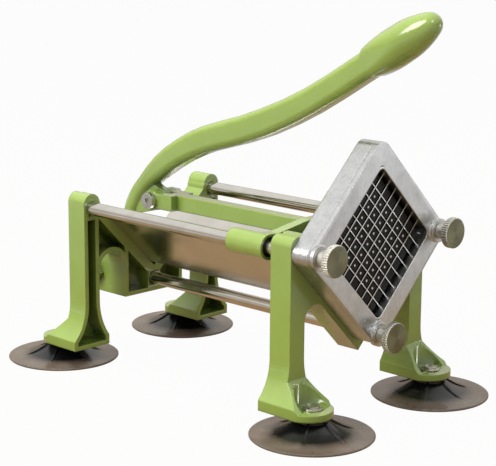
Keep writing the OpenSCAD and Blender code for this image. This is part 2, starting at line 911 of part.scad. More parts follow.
module grip_2d() {
    belly_r = (grip_mid * grip_mid) / (2 * (grip_max_r - grip_neck_r));
    intersection() {
        translate([grip_max_r - belly_r, grip_mid]) circle(r = belly_r, $fn = 4 * $fn);
        union() {
            square([2 * grip_max_r, grip_len - grip_end_r]);
            translate([0, grip_len - grip_end_r]) circle(r = grip_end_r);
        }
        square([2 * grip_max_r, grip_len]);
    }
}

module lever_grip() {
    color(green) translate([lever_end[0][0], 0, lever_end[0][1]]) rotate([0, 90 - grip_angle, 0])
        rotate_extrude() grip_2d();
}

module lever_bush() {
    color(steel) translate([pivot_x, 0, pivot_z]) difference() {
        pin_y_dir(-lever_w / 2, lever_w, pivot_bush_d);
        pin_y_dir(-lever_w, 2 * lever_w, pivot_d + 2 * run_fit);
    }
}

module pivot_bolt() {
    half = block_half_w;
    color(steel) translate([pivot_x, 0, pivot_z]) union() {
        pin_y_dir(-half, 2 * half + pivot_head_t, pivot_d);
        rotate([90, 0, 0]) translate([0, 0, half])
            cylinder(d = pivot_head_d, h = pivot_head_t, $fn = 6);
    }
}

module pivot_nut() {
    color(steel) translate([pivot_x, block_half_w, pivot_z]) rotate([-90, 0, 0]) difference() {
        cylinder(d = pivot_head_d, h = pivot_head_t, $fn = 6);
        translate([0, 0, -over]) cylinder(d = pivot_d + 2 * seat_fit, h = pivot_head_t + 2 * over);
    }
}

// Suction cups and their bolts

module cup_2d() {
    r = cup_d / 2;
    difference() {
        polygon([[0, 0], [r, 0], [r, cup_rim_t], [cup_cone_r, cup_cone_z],
            [cup_neck_r, foot_z - cup_rim_t], [cup_neck_r, foot_z], [0, foot_z]]);
        polygon([[0, -over], [r - cup_rim_w, -over], [r - cup_rim_w, 0],
            [cup_neck_r, cup_dome_z / 2], [0, cup_dome_z / 2]]);
    }
}

module cup(x, y) {
    r = cup_d / 2;
    rib_len = cup_cone_r * 1.2 - cup_neck_r;
    color(black) translate([x, y, 0]) difference() {
        union() {
            rotate_extrude() cup_2d();
            for (i = [0 : cup_rib_count - 1]) rotate([0, 0, i * 360 / cup_rib_count])
                translate([cup_neck_r - over, cup_rib_t / 2, 0]) rotate([90, 0, 0])
                    linear_extrude(height = cup_rib_t)
                        polygon([[0, cup_cone_z / 2], [rib_len + over, cup_cone_z * 0.7],
                            [0, foot_z - cup_rim_t]]);
        }
        translate([0, 0, foot_z - hex_t]) cylinder(d = cup_stud_d + 2 * seat_fit, h = foot_z);
    }
}

module cup_rear_near() cup(-cup_x, -cup_y);
module cup_rear_far() cup(-cup_x, cup_y);
module cup_front_near() cup(cup_x, -cup_y);
module cup_front_far() cup(cup_x, cup_y);

module cup_stud(x, y) {
    low = foot_z - hex_t;
    seat = foot_z + foot_floor_t;
    color(steel) translate([x, y, 0]) union() {
        translate([0, 0, low]) cylinder(d = cup_stud_d, h = seat - low);
        translate([0, 0, seat]) cylinder(d = washer_d, h = washer_t);
        translate([0, 0, seat + washer_t]) cylinder(d = hex_d, h = hex_t, $fn = 6);
    }
}

module stud_rear_near() cup_stud(-cup_x, -cup_y);
module stud_rear_far() cup_stud(-cup_x, cup_y);
module stud_front_near() cup_stud(cup_x, -cup_y);
module stud_front_far() cup_stud(cup_x, cup_y);

rear_casting();
front_casting();
rod_near();
rod_far();
tie_rod();
trough();
blade_frame();
face_frame();
blades_rising();
blades_falling();
thumb_nut_near();
thumb_nut_far();
thumb_nut_low();
carriage();
bush_near();
bush_far();
pusher_block();
pusher_plate();
pusher_pins();
pusher_screws();
link();
link_bolt();
link_nut();
link_front_pin();
lever();
lever_grip();
lever_bush();
pivot_bolt();
pivot_nut();
cup_rear_near();
cup_rear_far();
cup_front_near();
cup_front_far();
stud_rear_near();
stud_rear_far();
stud_front_near();
stud_front_far();
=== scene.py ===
"""Looks of the french fry cutter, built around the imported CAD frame."""
import json
import math

import bmesh
import bpy
from mathutils import Matrix, Vector


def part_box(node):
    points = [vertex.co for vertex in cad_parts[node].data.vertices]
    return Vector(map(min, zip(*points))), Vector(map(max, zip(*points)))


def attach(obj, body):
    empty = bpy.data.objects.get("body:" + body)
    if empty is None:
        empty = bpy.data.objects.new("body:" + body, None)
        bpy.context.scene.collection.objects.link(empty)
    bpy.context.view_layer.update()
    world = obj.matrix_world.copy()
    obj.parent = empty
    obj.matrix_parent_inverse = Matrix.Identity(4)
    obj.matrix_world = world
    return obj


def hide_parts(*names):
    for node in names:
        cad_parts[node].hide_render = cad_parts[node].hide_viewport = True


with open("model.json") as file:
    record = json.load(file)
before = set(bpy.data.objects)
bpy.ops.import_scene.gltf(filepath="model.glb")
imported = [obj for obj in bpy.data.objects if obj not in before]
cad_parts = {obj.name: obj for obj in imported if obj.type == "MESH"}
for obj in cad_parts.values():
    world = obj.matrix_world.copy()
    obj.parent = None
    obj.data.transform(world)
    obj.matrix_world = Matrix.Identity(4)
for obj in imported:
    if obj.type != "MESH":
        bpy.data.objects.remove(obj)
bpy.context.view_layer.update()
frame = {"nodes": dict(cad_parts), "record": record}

scene = bpy.context.scene
scene.view_settings.view_transform = "Standard"


# Camera, fitted to the photograph

CAM_AZ, CAM_EL, CAM_ROLL = (math.radians(v) for v in (44.132, 12.175, 0.392))
CAM_TARGET = Vector((0.0172, -0.0094, 0.1182))
CAM_DIST = 1.1745
CAM_LENS = 111.28


def add_camera():
    back = Vector((math.sin(CAM_AZ) * math.cos(CAM_EL), -math.cos(CAM_AZ) * math.cos(CAM_EL),
                   math.sin(CAM_EL)))
    right = Vector((math.cos(CAM_AZ), math.sin(CAM_AZ), 0))
    up = back.cross(right)
    x = math.cos(CAM_ROLL) * right + math.sin(CAM_ROLL) * up
    y = -math.sin(CAM_ROLL) * right + math.cos(CAM_ROLL) * up
    data = bpy.data.cameras.new("camera")
    data.sensor_fit = "HORIZONTAL"
    data.sensor_width = 36
    data.lens = CAM_LENS
    data.clip_start = 0.01
    cam = bpy.data.objects.new("camera", data)
    turn = Matrix((x, y, back)).transposed().to_4x4()
    cam.matrix_world = Matrix.Translation(CAM_TARGET + CAM_DIST * back) @ turn
    scene.collection.objects.link(cam)
    scene.camera = cam


add_camera()


# Material helpers

NOISE_LOW, NOISE_HIGH = 0.3, 0.7


class Mat:
    """A node material with a Principled shader, and short calls to add what drives it."""

    def __init__(self, name, coords="Object", **sockets):
        self.mat = bpy.data.materials.new(name)
        self.mat.use_nodes = True
        self.tree = self.mat.node_tree
        self.tree.nodes.clear()
        self.out = self.node("ShaderNodeOutputMaterial")
        self.bsdf = self.node("ShaderNodeBsdfPrincipled")
        self.link(self.bsdf.outputs[0], self.out.inputs["Surface"])
        self.coord = self.node("ShaderNodeTexCoord").outputs[coords]
        for key, value in sockets.items():
            self.bsdf.inputs[key.replace("_", " ")].default_value = value

    def node(self, kind, **props):
        made = self.tree.nodes.new(kind)
        for key, value in props.items():
            setattr(made, key, value)
        return made

    def link(self, a, b):
        self.tree.links.new(a, b)

    def math(self, operation, a, b=None):
        made = self.node("ShaderNodeMath", operation=operation)
        for socket, value in zip(made.inputs, (a, b)):
            if isinstance(value, (int, float)):
                socket.default_value = value
            elif value is not None:
                self.link(value, socket)
        return made.outputs[0]

    def scaled(self, scale):
        mapping = self.node("ShaderNodeMapping")
        mapping.inputs["Scale"].default_value = scale
        self.link(self.coord, mapping.inputs["Vector"])
        return mapping.outputs[0]

    def noise(self, scale, detail=2.0, rough=0.5, stretch=(1, 1, 1)):
        made = self.node("ShaderNodeTexNoise")
        made.inputs["Scale"].default_value = scale
        made.inputs["Detail"].default_value = detail
        made.inputs["Roughness"].default_value = rough
        self.link(self.scaled(stretch), made.inputs["Vector"])
        return made.outputs["Fac"]

    def axis(self, name):
        """One coordinate of the material's space."""
        made = self.node("ShaderNodeSeparateXYZ")
        self.link(self.coord, made.inputs[0])
        return made.outputs[name]

    def occlusion(self, distance):
        """1 in the open, towards 0 in a recess."""
        made = self.node("ShaderNodeAmbientOcclusion", samples=8)
        made.inputs["Distance"].default_value = distance
        return made.outputs["AO"]

    def ramp(self, source, stops):
        made = self.node("ShaderNodeValToRGB")
        points = made.color_ramp.elements
        while len(points) < len(stops):
            points.new(0.5)
        for point, (at, colour) in zip(points, stops):
            point.position = at
            point.color = (*colour, 1)
        self.link(source, made.inputs[0])
        return made.outputs[0]

    def tones(self, source, low, high):
        """From one sRGB colour to another over the range that a noise mostly covers."""
        return self.ramp(source, [(NOISE_LOW, srgb(*low)), (NOISE_HIGH, srgb(*high))])

    def blend(self, share, a, b, kind="MIX"):
        """Colour a towards b by share; a and b are colour outputs."""
        made = self.node("ShaderNodeMix", data_type="RGBA", blend_type=kind)
        self.link(a, made.inputs["A"])
        self.link(b, made.inputs["B"])
        if isinstance(share, (int, float)):
            made.inputs["Factor"].default_value = share
        else:
            self.link(share, made.inputs["Factor"])
        return made.outputs["Result"]

    def spread(self, source, low, high, socket):
        made = self.node("ShaderNodeMapRange")
        made.inputs["From Min"].default_value = NOISE_LOW
        made.inputs["From Max"].default_value = NOISE_HIGH
        made.inputs["To Min"].default_value = low
        made.inputs["To Max"].default_value = high
        self.link(source, made.inputs["Value"])
        self.link(made.outputs[0], self.bsdf.inputs[socket])

    def colour(self, output):
        self.link(output, self.bsdf.inputs["Base Color"])

    def bumps(self, layers, edge=0.0):
        """Bump layers of (height source, distance in metres, strength) over rounded edges."""
        normal = None
        if edge:
            bevel = self.node("ShaderNodeBevel", samples=8)
            bevel.inputs["Radius"].default_value = edge
            normal = bevel.outputs[0]
        for source, distance, strength in layers:
            bump = self.node("ShaderNodeBump")
            bump.inputs["Distance"].default_value = distance
            bump.inputs["Strength"].default_value = strength
            self.link(source, bump.inputs["Height"])
            if normal:
                self.link(normal, bump.inputs["Normal"])
            normal = bump.outputs[0]
        self.link(normal, self.bsdf.inputs["Normal"])


def srgb(r, g, b):
    return tuple(((c / 255 + 0.055) / 1.055) ** 2.4 if c > 10 else c / 3294 for c in (r, g, b))


# Materials

def paint():
    """Glossy green enamel over a casting: faint orange peel, with painted shade that darkens it
    where it is recessed.
    """
    m = Mat("green_paint", Roughness=0.2, Coat_Weight=1.0, Coat_Roughness=0.05)
    open_paint = m.tones(m.noise(38, 4), (142, 168, 74), (149, 175, 80))
    # Painted shade: a dark green that the occlusion mask blends in where the casting is recessed
    painted_recess_shade = m.tones(m.noise(38, 4), (56, 74, 24), (64, 82, 28))
    m.colour(m.blend(m.math("POWER", m.occlusion(0.03), 0.9), painted_recess_shade, open_paint))
    m.spread(m.noise(90, 3), 0.17, 0.27, "Roughness")
    m.bumps([(m.noise(260, 2), 0.0003, 0.07), (m.noise(34, 2), 0.001, 0.1)], edge=0.0016)
    return m.mat


def rod_steel():
    """Ground and polished bar: fine rings of the grinding round the bar."""
    m = Mat("polished_steel", Metallic=1.0, Roughness=0.12)
    m.colour(m.tones(m.noise(60, 2), (205, 202, 195), (219, 216, 210)))
    m.spread(m.noise(900, 2, stretch=(1, 0.04, 0.04)), 0.09, 0.17, "Roughness")
    m.bumps([(m.noise(1500, 2, stretch=(1, 0.03, 0.03)), 0.0002, 0.05)], edge=0.0004)
    return m.mat


def sheet_steel():
    """Brushed sheet, the grain along the trough."""
    m = Mat("stainless_sheet", Metallic=1.0, Roughness=0.22)
    m.colour(m.tones(m.noise(40, 3), (212, 208, 200), (222, 218, 211)))
    m.spread(m.noise(700, 3, stretch=(0.03, 1, 1)), 0.15, 0.27, "Roughness")
    m.bumps([(m.noise(1300, 3, stretch=(0.02, 1, 1)), 0.0002, 0.07)], edge=0.0003)
    return m.mat


BLADE_HIGHLIGHT_BAND = 0.0004
BLADE_FRONT = -0.0019


def blade_steel():
    """Ground strip: a painted highlight makes its front edge bright, and painted shade makes it
    dark behind it.
    """
    m = Mat("blade_steel", Metallic=1.0, Roughness=0.3)
    # Mask along x: the painted highlight on the front edge, painted shade on the sides behind it
    edge = m.node("ShaderNodeMapRange")
    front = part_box("face_frame")[0][0] + BLADE_FRONT
    edge.inputs["From Min"].default_value = front - BLADE_HIGHLIGHT_BAND
    edge.inputs["From Max"].default_value = front - BLADE_HIGHLIGHT_BAND / 2
    m.link(m.axis("X"), edge.inputs["Value"])
    painted_side_shade = m.tones(m.noise(90, 3), (26, 26, 26), (40, 40, 39))
    painted_edge_highlight = m.tones(m.noise(90, 3), (232, 231, 228), (245, 244, 242))
    m.colour(m.blend(edge.outputs[0], painted_side_shade, painted_edge_highlight))
    m.spread(m.noise(900, 2, stretch=(1, 0.2, 0.2)), 0.24, 0.38, "Roughness")
    m.bumps([(m.noise(1600, 2, stretch=(1, 0.2, 0.2)), 0.0001, 0.08)])
    return m.mat


def alloy():
    """Sanded casting: fine scratches and small soft waves."""
    m = Mat("cast_alloy", Metallic=1.0, Roughness=0.34)
    tone = m.tones(m.noise(70, 5, 0.7), (202, 203, 203), (224, 225, 226))
    grain = m.tones(m.noise(1100, 3, 0.8, (0.6, 1, 0.25)), (226, 226, 226), (255, 255, 255))
    m.colour(m.blend(0.8, tone, grain, "MULTIPLY"))
    m.spread(m.noise(500, 4, 0.7, (0.6, 1, 0.3)), 0.26, 0.42, "Roughness")
    m.bumps([(m.noise(1200, 3, 0.7, (0.6, 1, 0.25)), 0.0002, 0.16), (m.noise(60, 2), 0.0008, 0.12)],
            edge=0.0011)
    return m.mat


def turned_metal():
    """Turned nuts: fine rings round the nut's axis; the end faces carry a darker olive painted
    reflection, the sides the lighter metal.
    """
    m = Mat("nut_metal", "Generated", Metallic=1.0, Roughness=0.28)
    away = m.node("ShaderNodeVectorMath", operation="LENGTH")
    mapping = m.node("ShaderNodeMapping")
    mapping.inputs["Scale"].default_value = (0, 1, 1)
    mapping.inputs["Location"].default_value = (0, -0.5, -0.5)
    m.link(m.coord, mapping.inputs["Vector"])
    m.link(mapping.outputs[0], away.inputs[0])
    ring_noise = m.node("ShaderNodeTexNoise", noise_dimensions="1D")
    ring_noise.inputs["Scale"].default_value = 90
    ring_noise.inputs["Detail"].default_value = 3
    m.link(away.outputs["Value"], ring_noise.inputs["W"])
    rings = ring_noise.outputs["Fac"]
    painted_reflection_facing = m.node("ShaderNodeSeparateXYZ")
    m.link(m.node("ShaderNodeNewGeometry").outputs["Normal"], painted_reflection_facing.inputs[0])
    # Painted reflection: end faces, picked by their normal, are coloured dark olive as if mirroring
    # the table
    face = m.tones(rings, (108, 107, 84), (138, 137, 113))
    side = m.tones(rings, (206, 204, 194), (228, 226, 218))
    m.colour(m.blend(m.math("POWER", m.math("ABSOLUTE", painted_reflection_facing.outputs["X"]), 4), side, face))
    m.spread(rings, 0.34, 0.44, "Roughness")
    m.bumps([(rings, 0.0002, 0.35)], edge=0.0005)
    tangent = m.node("ShaderNodeTangent", direction_type="RADIAL", axis="X")
    m.link(tangent.outputs[0], m.bsdf.inputs["Tangent"])
    m.bsdf.inputs["Anisotropic"].default_value = 0.85
    return m.mat


def zinc():
    m = Mat("zinc_steel", Metallic=1.0, Roughness=0.3)
    m.colour(m.tones(m.noise(130, 4), (178, 175, 166), (208, 206, 199)))
    m.spread(m.noise(260, 3), 0.22, 0.38, "Roughness")
    m.bumps([(m.noise(900, 2), 0.0002, 0.1)], edge=0.0005)
    return m.mat


def black_plastic():
    m = Mat("black_plastic", Roughness=0.42, Specular_IOR_Level=0.22)
    m.colour(m.tones(m.noise(80, 3), (5, 5, 5), (11, 11, 11)))
    m.spread(m.noise(200, 3), 0.36, 0.5, "Roughness")
    m.bumps([(m.noise(1500, 2), 0.0002, 0.12)], edge=0.0005)
    return m.mat


def white_plastic():
    m = Mat("white_plastic", Roughness=0.45)
    m.colour(m.tones(m.noise(200, 3), (232, 232, 230), (244, 244, 242)))
    m.bumps([(m.noise(1500, 2), 0.0001, 0.1)], edge=0.0003)
    return m.mat


CUP_BLACK_Z = 0.0038
CUP_TAUPE_Z = 0.0019


def rubber():
    """Glossy cup: brownish low down near the rim, black higher up towards the neck."""
    m = Mat("cup_rubber", Roughness=0.3, Coat_Weight=0.1, Coat_Roughness=0.1)
    upper_share = m.node("ShaderNodeMapRange")
    upper_share.inputs["From Min"].default_value = CUP_TAUPE_Z
    upper_share.inputs["From Max"].default_value = CUP_BLACK_Z
    m.link(m.axis("Z"), upper_share.inputs["Value"])
    rim = m.tones(m.noise(50, 4), (92, 80, 69), (116, 102, 89))
    core = m.tones(m.noise(50, 4), (8, 8, 9), (14, 13, 14))
    m.colour(m.blend(upper_share.outputs[0], rim, core))
    m.spread(m.noise(30, 4), 0.2, 0.36, "Roughness")
    m.bumps([(m.noise(500, 2), 0.0002, 0.08), (m.noise(28, 2), 0.0012, 0.16)], edge=0.0004)
    return m.mat


MATERIALS = {"green_paint": paint(), "polished_steel": rod_steel(),
             "stainless_sheet": sheet_steel(), "blade_steel": blade_steel(),
             "zinc_steel": zinc(), "cast_alloy": alloy(), "nut_metal": turned_metal(),
             "black_plastic": black_plastic(), "white_plastic": white_plastic(),
             "cup_rubber": rubber()}


def dress_nodes():
    slots = {p["node"]: p["material_slot"] for p in frame["record"]["subparts"]}
    for name, obj in frame["nodes"].items():
        obj.data.materials.clear()
        obj.data.materials.append(MATERIALS[slots[name]])


dress_nodes()


# Pieces that the scene shapes itself, each in place of its CAD node. Sizes are in millimetres.

MM = 0.001
WELD = 4e-6
LEVEL_WEIGHT = 90
# Angles in degrees above which an edge stays sharp
CAST_SMOOTH, STUD_SMOOTH, NUT_SMOOTH, PLAIN_SMOOTH, LEVER_SMOOTH = 20, 25, 30, 35, 40
# Radius of a ring that stands for a point on the axis
AXIS_R = 0.05


def mesh_object(name, points, faces):
    mesh = bpy.data.meshes.new(name)
    mesh.from_pydata([Vector(p) * MM for p in points], [], faces)
    mesh.update()
    obj = bpy.data.objects.new(name, mesh)
    scene.collection.objects.link(obj)
    return obj


def face_outwards(obj):
    """Turns every face of a closed mesh to its outside."""
    shape = bmesh.new()
    shape.from_mesh(obj.data)
    bmesh.ops.recalc_face_normals(shape, faces=shape.faces)
    shape.to_mesh(obj.data)
    shape.free()


def copy_of(node, name):
    """A free copy of a CAD node's mesh, to be cut and shown in its place."""
    obj = bpy.data.objects.new(name, frame["nodes"][node].data.copy())
    scene.collection.objects.link(obj)
    return obj


def carve(obj, operation, *tools):
    """Joins closed tools to obj, cuts them out or keeps what they share, and deletes them."""
    for tool in tools:
        change = obj.modifiers.new("carve", "BOOLEAN")
        change.operation = operation
        change.solver = "EXACT"
        change.object = tool
        scene_now = bpy.context.evaluated_depsgraph_get()
        made = bpy.data.meshes.new_from_object(obj.evaluated_get(scene_now))
        obj.modifiers.clear()
        obj.data = made
        bpy.data.objects.remove(tool)


def clean(obj):
    """Welds what a carving left a hair apart."""
    shape = bmesh.new()
    shape.from_mesh(obj.data)
    bmesh.ops.remove_doubles(shape, verts=shape.verts, dist=WELD)
    bmesh.ops.dissolve_degenerate(shape, edges=shape.edges, dist=WELD)
    bmesh.ops.triangulate(shape, faces=[f for f in shape.faces if len(f.verts) > 4])
    shape.to_mesh(obj.data)
    shape.free()


def dress(obj, materials, body, nodes, smooth_angle=PLAIN_SMOOTH):
    clean(obj)
    obj.data.materials.clear()
    for name in materials:
        obj.data.materials.append(MATERIALS[name])
    obj.data.shade_smooth()
    obj.data.set_sharp_from_angle(angle=math.radians(smooth_angle))
    level = obj.modifiers.new("level", "WEIGHTED_NORMAL")
    level.keep_sharp = True
    level.weight = LEVEL_WEIGHT
    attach(obj, body)
    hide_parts(*nodes)


def loft(name, rings):
    """A closed skin over rings that have the same count of points."""
    m = len(rings[0])
    faces = [(i * m + j, i * m + (j + 1) % m, (i + 1) * m + (j + 1) % m, (i + 1) * m + j)
             for i in range(len(rings) - 1) for j in range(m)]
    faces += [tuple(reversed(range(m))), tuple((len(rings) - 1) * m + j for j in range(m))]
    obj = mesh_object(name, [p for ring in rings for p in ring], faces)
    face_outwards(obj)
    return obj


def prism(name, outline, low, high, along):
    """An outline of two coordinates, drawn out along the axis 'x', 'y' or 'z' from low to high."""
    place = {"x": lambda p, d: (d, p[0], p[1]), "y": lambda p, d: (p[0], d, p[1]),
             "z": lambda p, d: (p[0], p[1], d)}[along]
    return loft(name, [[place(p, d) for p in outline] for d in (low, high)])


def circle(centre, radius, count=64):
    return [(centre[0] + radius * math.cos(2 * math.pi * k / count),
             centre[1] + radius * math.sin(2 * math.pi * k / count)) for k in range(count)]


# The lever, one casting with its swollen grip

LEVER_BODY = "lever"
PIVOT = Vector((-136.0, 66.0))
PIN = Vector((-90.0, 129.2))
LEVER_T, LEVER_W, LEVER_CORNER = 21.8, 20.0, 6.0
LEVER_DEPTH_SHARES = [0.68, 0.68, 0.68, 0.68, 0.68, 0.67, 0.67, 0.67, 0.67, 0.68, 0.76, 0.85, 0.895,
                      0.927, 0.963, 0.986, 1, 1, 1, 0.963, 0.935, 0.918, 0.908]
LEVER_WIDTH_SHARES = [0.7] * 9 + [0.72, 0.85, 0.96] + [1] * 11
FOOT_LEN, MID_LEN, END_LEN = 42.3, 12.0, 35.2
FOOT_ANGLE = 78.2
BENDS = [(-58, 38, 8), (-205, 25.7, 6), (440, -16.2, 5)]
GRIP_LEN, GRIP_NECK_R, GRIP_MAX_R, GRIP_MID, GRIP_END_R = 68.4, 10.5, 14.2, 33.0, 9.0
GRIP_STEPS = 8
GRIP_TIP_GAP, GRIP_TIP_SHARE = 0.002, 0.06
EYE_R, EAR_R, EAR_W, BUSH_D, PIN_D = 15.0, 9.0, 8.0, 16.2, 9.1
# Shares of the lever's depth: height of the ear, and its reach at the top, the rear and the foot
EAR_RISE, EAR_TOP, EAR_REAR, EAR_FOOT = 0.8, 0.85, 1.6, 1.5
CORNER_STEPS = 6


def heading(angle):
    return Vector((math.cos(math.radians(angle)), math.sin(math.radians(angle))))


def left_of(angle):
    return Vector((-math.sin(math.radians(angle)), math.cos(math.radians(angle))))


def lever_route():
    """Centre points of the bar with its heading at each."""
    at, angle = PIVOT.copy(), FOOT_ANGLE
    route = [(at, angle)]
    at = at + FOOT_LEN * heading(angle)
    route.append((at, angle))
    for number, (radius, turn, steps) in enumerate(BENDS):
        if number == 1:
            at = at + MID_LEN * heading(angle)
            route.append((at, angle))
        start, first = at, angle
        for k in range(1, steps + 1):
            angle = first - turn * k / steps
            at = start + radius * (left_of(first) - left_of(angle))
            route.append((at, angle))
    route.append((at + END_LEN * heading(angle), angle))
    return route


def bar_ring(at, angle, deep, wide, corner):
    ring = []
    for q in range(4):
        for k in range(CORNER_STEPS + 1):
            a = math.radians(q * 90 + k * 90 / CORNER_STEPS)
            u = (1 if q in (0, 3) else -1) * (deep / 2 - corner) + corner * math.cos(a)
            v = (1 if q < 2 else -1) * (wide / 2 - corner) + corner * math.sin(a)
            spot = at + u * left_of(angle)
            ring.append((spot[0], v, spot[1]))
    return ring


def grip_radii():
    """Distance along the grip and radius there: two arcs that meet at the belly, a round end."""
    bulge = GRIP_MAX_R - GRIP_NECK_R
    rear_r = (GRIP_MID ** 2 + bulge ** 2) / (2 * bulge)
    tip = GRIP_LEN - GRIP_END_R
    rest = tip - GRIP_MID
    front_r = (GRIP_MAX_R ** 2 + rest ** 2 - GRIP_END_R ** 2) / (2 * (GRIP_MAX_R - GRIP_END_R))
    touch_angle = math.asin(rest / (front_r - GRIP_END_R))
    touch = tip + GRIP_END_R * math.sin(touch_angle)

    def belly(r, z):
        return z, GRIP_MAX_R - r + math.sqrt(r * r - (z - GRIP_MID) ** 2)

    steps = range(1, GRIP_STEPS + 1)
    out = [belly(rear_r, GRIP_MID * k / GRIP_STEPS) for k in steps]
    out += [belly(front_r, GRIP_MID + (touch - GRIP_MID) * k / GRIP_STEPS) for k in steps]
    for k in steps[:-1]:
        a = touch_angle + (math.pi / 2 - touch_angle) * k / GRIP_STEPS
        out.append((tip + GRIP_END_R * math.sin(a), GRIP_END_R * math.cos(a)))
    return out + [(GRIP_LEN - GRIP_END_R * GRIP_TIP_GAP, GRIP_END_R * GRIP_TIP_SHARE)]


def build_lever():
    route = lever_route()
    rings = [bar_ring(at, angle, LEVER_T * d, LEVER_W * w, LEVER_CORNER)
             for (at, angle), d, w in zip(route, LEVER_DEPTH_SHARES, LEVER_WIDTH_SHARES)]
    end, angle = route[-1]
    for along, radius in grip_radii():
        corner = min(radius, LEVER_CORNER + (radius - LEVER_CORNER) * min(1, along / GRIP_MID))
        rings.append(bar_ring(end + along * heading(angle), angle, 2 * radius, 2 * radius, corner))
    lever = loft("lever_dressed", rings)
    rise = LEVER_T * EAR_RISE
    ear = [(PIN.x, PIN.y + EAR_R), (PIN.x - LEVER_T * EAR_TOP, PIN.y + rise),
           (PIN.x - LEVER_T * EAR_REAR, PIN.y - EAR_R / 2),
           (PIN.x - LEVER_T * EAR_FOOT, PIN.y - rise),
           (PIN.x, PIN.y - EAR_R)]
    carve(lever, "UNION",
          prism("eye", circle(PIVOT, EYE_R), -LEVER_W / 2, LEVER_W / 2, "y"),
          prism("ear", ear, -EAR_W / 2, EAR_W / 2, "y"),
          prism("ear_round", circle(PIN, EAR_R), -EAR_W / 2, EAR_W / 2, "y"))
    carve(lever, "DIFFERENCE",
          prism("bush_hole", circle(PIVOT, BUSH_D / 2), -LEVER_W, LEVER_W, "y"),
          prism("pin_hole", circle(PIN, PIN_D / 2), -LEVER_W, LEVER_W, "y"))
    dress(lever, ["green_paint"], LEVER_BODY, ["lever", "lever_grip"],
          LEVER_SMOOTH)


# Suction cups: a flat rim, a hollow curved cone up to the neck, and ribs on the cone

CUP_X, CUP_Y, CUP_R, CUP_RIM_T, CUP_RIM_W = 137.1, 67.1, 44.75, 1.7, 5.0
CUP_FLAT_R, CUP_NECK_R, CUP_CONE_R, CUP_TOP_Z, CUP_DOME_Z = 40.0, 12.0, 45.3, 14.3, 2.1
CUP_BORE_R, CUP_BORE_Z, CUP_RIBS, CUP_RIB_T, CUP_POINTS, CUP_STEPS = 4.1, 9.0, 6, 1.6, 96, 12
CUP_SINK, CUP_RIB_REACH, CUP_EDGE = 1.0, 0.78, 0.4
CUP_HOLLOW_Z, CUP_RIM_FALL, CUP_RIM_IN = 0.3, 0.5, 0.6
# Crest of a rib: distance out from the neck, and height over the cone there
CUP_RIB_CREST = [(4, 1.5), (10, 1.0)]
CUP_RIB_TOP_FALL, CUP_RIB_FOOT_RISE = 0.8, 0.5


def cup_cone_z(radius):
    """Height of the hollow cone at a radius."""
    inwards = max(0, CUP_FLAT_R - radius)
    return CUP_RIM_T + CUP_CONE_R - math.sqrt(CUP_CONE_R ** 2 - inwards ** 2)


def build_cup(node, x, y):
    cone = [CUP_FLAT_R + (CUP_NECK_R - CUP_FLAT_R) * k / CUP_STEPS for k in range(CUP_STEPS + 1)]
    profile = [(AXIS_R, CUP_DOME_Z), (CUP_NECK_R, CUP_DOME_Z), (CUP_R - CUP_RIM_W, CUP_HOLLOW_Z),
               (CUP_R - CUP_RIM_W, 0), (CUP_R - CUP_EDGE, 0), (CUP_R, CUP_EDGE),
               (CUP_R, CUP_RIM_T - CUP_RIM_FALL), (CUP_R - CUP_RIM_IN, CUP_RIM_T)]
    profile += [(r, cup_cone_z(r)) for r in cone]
    profile += [(CUP_NECK_R, CUP_TOP_Z), (CUP_BORE_R, CUP_TOP_Z), (CUP_BORE_R, CUP_BORE_Z),
                (AXIS_R, CUP_BORE_Z)]
    rings = [[(x + a, y + b, z) for a, b in circle((0, 0), r, CUP_POINTS)] for r, z in profile]
    cup = loft(node + "_dressed", rings)
    for k in range(CUP_RIBS):
        turn = 2 * math.pi * k / CUP_RIBS
        low_r, high_r = CUP_NECK_R - CUP_SINK, CUP_FLAT_R * CUP_RIB_REACH
        crest = [(low_r, CUP_TOP_Z - CUP_RIB_TOP_FALL)]
        crest += [(CUP_NECK_R + out, cup_cone_z(CUP_NECK_R + out) + up)
                  for out, up in CUP_RIB_CREST]
        crest += [(high_r, cup_cone_z(high_r)), (high_r, CUP_DOME_Z),
                  (low_r, CUP_DOME_Z + CUP_RIB_FOOT_RISE)]
        rings = []
        for side in (-1, 1):
            ring = []
            for r, z in crest:
                a, b = r, side * CUP_RIB_T / 2
                ring.append((x + a * math.cos(turn) - b * math.sin(turn),
                             y + a * math.sin(turn) + b * math.cos(turn), z))
            rings.append(ring)
        carve(cup, "UNION", loft("rib", rings))
    dress(cup, ["cup_rubber"], "base", [node])


# The front casting, with a thin ring behind the frame in place of the deep one

FRONT_X, CAST_D, RING_T = 102.0, 19.5, 4.5
ROD_Y, ROD_Z, TIE_Z, FRAME_Z = 66.3, 128.3, 61.2, 127.7
LEG_IN, LEG_TOP_Z = 59.2, 140.0
RING_SPAN, RING_TOP_Z, RING_HALF_DIAGONAL = 90.0, 215.0, 67.9
CUT_SPARE = 1.0
RING_GAP, BOSS_INSET = 0.2, 3.5
# Where cutters end: behind the casting's inner face, ahead of it at the feet and at the
# bosses, and off the centre plane
CUT_BEHIND, CUT_FEET_X, CUT_BOSS_X, CUT_SIDE_Y = 5, 70, 30, 100
BOSS_LOW_Z, BOSS_HIGH_Z = 100, 160


# Feet: flared shoes, hollow at the back, with a sloped toe and a well for the cup's bolt

